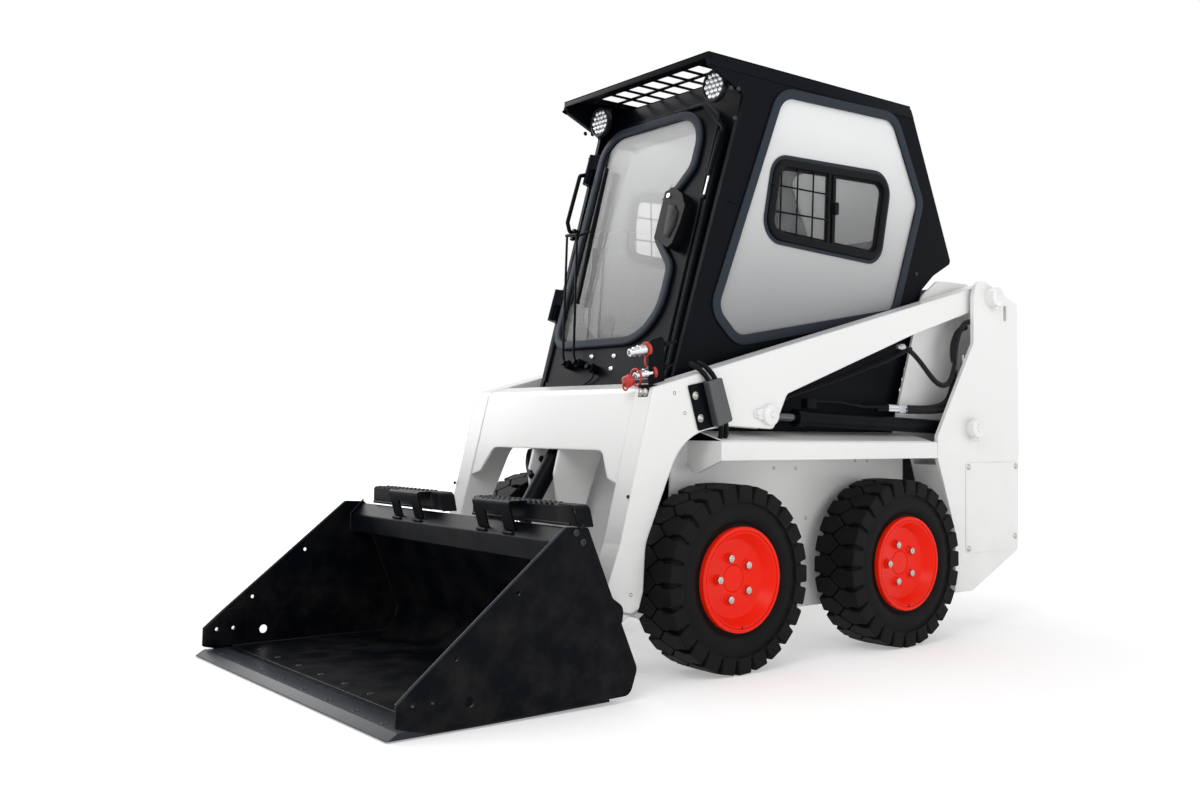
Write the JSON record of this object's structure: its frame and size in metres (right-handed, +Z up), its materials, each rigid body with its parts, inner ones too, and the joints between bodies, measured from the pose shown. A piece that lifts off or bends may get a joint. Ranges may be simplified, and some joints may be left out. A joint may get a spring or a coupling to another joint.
{
  "type": "skid steer loader",
  "caption": "Small wheeled loader with lift arms pivoted behind a closed cab, and a tilting bucket on a quick attach plate.",
  "frame": {"origin": "on the ground under the middle of the overall length, on the centre plane", "axes": "-Y is the front where the bucket is, +X is the machine left, +Z is up"},
  "size_m": [1.336, 2.766, 1.9749],
  "materials": {
    "white_paint": "gloss enamel",
    "black_paint": "satin enamel",
    "glass": "clear safety glass",
    "rubber": "matt moulded rubber",
    "seat_vinyl": "grained vinyl",
    "black_plastic": "matt grained",
    "lamp_housing": "matt",
    "rod_chrome": "hard chrome",
    "engine_paint": "painted casting",
    "tyre_rubber": "solid rubber",
    "rim_paint": "gloss enamel"
  },
  "bodies": {
    "chassis": {"chassis_tub": "white_paint", "axle_housings": "white_paint", "tower_left": "white_paint", "tower_right": "white_paint", "tower_covers": "white_paint", "rear_bumper": "white_paint", "engine_block": "engine_paint", "engine_deck": "white_paint", "cab_side_left": "black_paint", "cab_side_right": "black_paint", "cab_roof": "black_paint", "cab_rear": "black_paint", "cab_front": "black_paint", "cab_floor": "black_paint", "cab_glass": "glass", "slider_frames": "rubber", "seat": "seat_vinyl", "control_levers": "black_plastic", "work_lamps": "lamp_housing"},
    "lift_arm": {"arm_left": "white_paint", "arm_right": "white_paint", "cross_member": "white_paint", "arm_fittings": "black_plastic"},
    "lift_barrel_left": {"lift_barrel_left": "black_paint"},
    "lift_barrel_right": {"lift_barrel_right": "black_paint"},
    "lift_rod_left": {"lift_rod_left": "rod_chrome"},
    "lift_rod_right": {"lift_rod_right": "rod_chrome"},
    "tilt_barrel": {"tilt_barrel": "black_paint"},
    "tilt_rod": {"tilt_rod": "rod_chrome"},
    "bucket": {"bucket": "black_paint", "quick_attach": "black_paint", "bucket_steps": "black_paint"},
    "cab_door": {"door_frame": "black_paint", "door_glass": "glass", "door_fittings": "black_plastic"},
    "rear_door": {"rear_door": "white_paint"},
    "engine_hood": {"engine_hood": "white_paint"},
    "wheel_front_left": {"tyre_front_left": "tyre_rubber", "rim_front_left": "rim_paint"},
    "wheel_front_right": {"tyre_front_right": "tyre_rubber", "rim_front_right": "rim_paint"},
    "wheel_rear_left": {"tyre_rear_left": "tyre_rubber", "rim_rear_left": "rim_paint"},
    "wheel_rear_right": {"tyre_rear_right": "tyre_rubber", "rim_rear_right": "rim_paint"}
  },
  "joints": [
    {"name": "lift", "type": "hinge", "parent": "chassis", "child": "lift_arm", "pos_m": [0, 1.203, 1.265], "axis": [-1, 0, 0], "range_deg": [0, 62]},
    {"name": "bucket_tilt", "type": "hinge", "parent": "lift_arm", "child": "bucket", "pos_m": [0, -0.597, 0.203], "axis": [1, 0, 0], "range_deg": [-25, 100]},
    {"name": "cab_door_hinge", "type": "hinge", "parent": "chassis", "child": "cab_door", "pos_m": [-0.392, -0.27442, 0.91214], "axis": [0, -0.2756, -0.9613], "range_deg": [0, 95]},
    {"name": "rear_door_hinge", "type": "hinge", "parent": "chassis", "child": "rear_door", "pos_m": [-0.391, 1.373, 0.8], "axis": [0, 0, 1], "range_deg": [0, 110]},
    {"name": "hood_hinge", "type": "hinge", "parent": "chassis", "child": "engine_hood", "pos_m": [0, 1.351, 1.206], "axis": [-1, 0, 0], "range_deg": [0, 75]},
    {"name": "wheel_front_left_spin", "type": "hinge", "parent": "chassis", "child": "wheel_front_left", "pos_m": [0.5025, -0.162, 0.29], "axis": [1, 0, 0], "continuous": true},
    {"name": "wheel_front_right_spin", "type": "hinge", "parent": "chassis", "child": "wheel_front_right", "pos_m": [-0.5025, -0.162, 0.29], "axis": [1, 0, 0], "continuous": true},
    {"name": "wheel_rear_left_spin", "type": "hinge", "parent": "chassis", "child": "wheel_rear_left", "pos_m": [0.5025, 0.632, 0.29], "axis": [1, 0, 0], "continuous": true},
    {"name": "wheel_rear_right_spin", "type": "hinge", "parent": "chassis", "child": "wheel_rear_right", "pos_m": [-0.5025, 0.632, 0.29], "axis": [1, 0, 0], "continuous": true},
    {"name": "lift_barrel_left_swing", "type": "hinge", "parent": "chassis", "child": "lift_barrel_left", "pos_m": [0.46, 1.075, 0.761], "axis": [-1, 0, 0], "range_deg": [0, 55.87]},
    {"name": "lift_rod_left_slide", "type": "slide", "parent": "lift_barrel_left", "child": "lift_rod_left", "axis": [0, -0.9995, 0.0328], "range_m": [0, 0.51803]},
    {"name": "lift_barrel_right_swing", "type": "hinge", "parent": "chassis", "child": "lift_barrel_right", "pos_m": [-0.46, 1.075, 0.761], "axis": [-1, 0, 0], "range_deg": [0, 55.87]},
    {"name": "lift_rod_right_slide", "type": "slide", "parent": "lift_barrel_right", "child": "lift_rod_right", "axis": [0, -0.9995, 0.0328], "range_m": [0, 0.51803]},
    {"name": "tilt_barrel_swing", "type": "hinge", "parent": "lift_arm", "child": "tilt_barrel", "pos_m": [0, -0.397, 0.74], "axis": [1, 0, 0], "range_deg": [-0.6, 2.1]},
    {"name": "tilt_rod_slide", "type": "slide", "parent": "tilt_barrel", "child": "tilt_rod", "axis": [0, -0.5341, -0.8454], "range_m": [-0.05297, 0.20886]}
  ],
  "couplings": [
    {"joint": "lift_barrel_left_swing", "follows": "lift", "ratio": 0.89794},
    {"joint": "lift_rod_left_slide", "follows": "lift", "m_per_rad": 0.4778},
    {"joint": "lift_barrel_right_swing", "follows": "lift", "ratio": 0.89794},
    {"joint": "lift_rod_right_slide", "follows": "lift", "m_per_rad": 0.4778},
    {"joint": "tilt_barrel_swing", "follows": "bucket_tilt", "ratio": 0.02},
    {"joint": "tilt_rod_slide", "follows": "bucket_tilt", "m_per_rad": 0.1191}
  ]
}
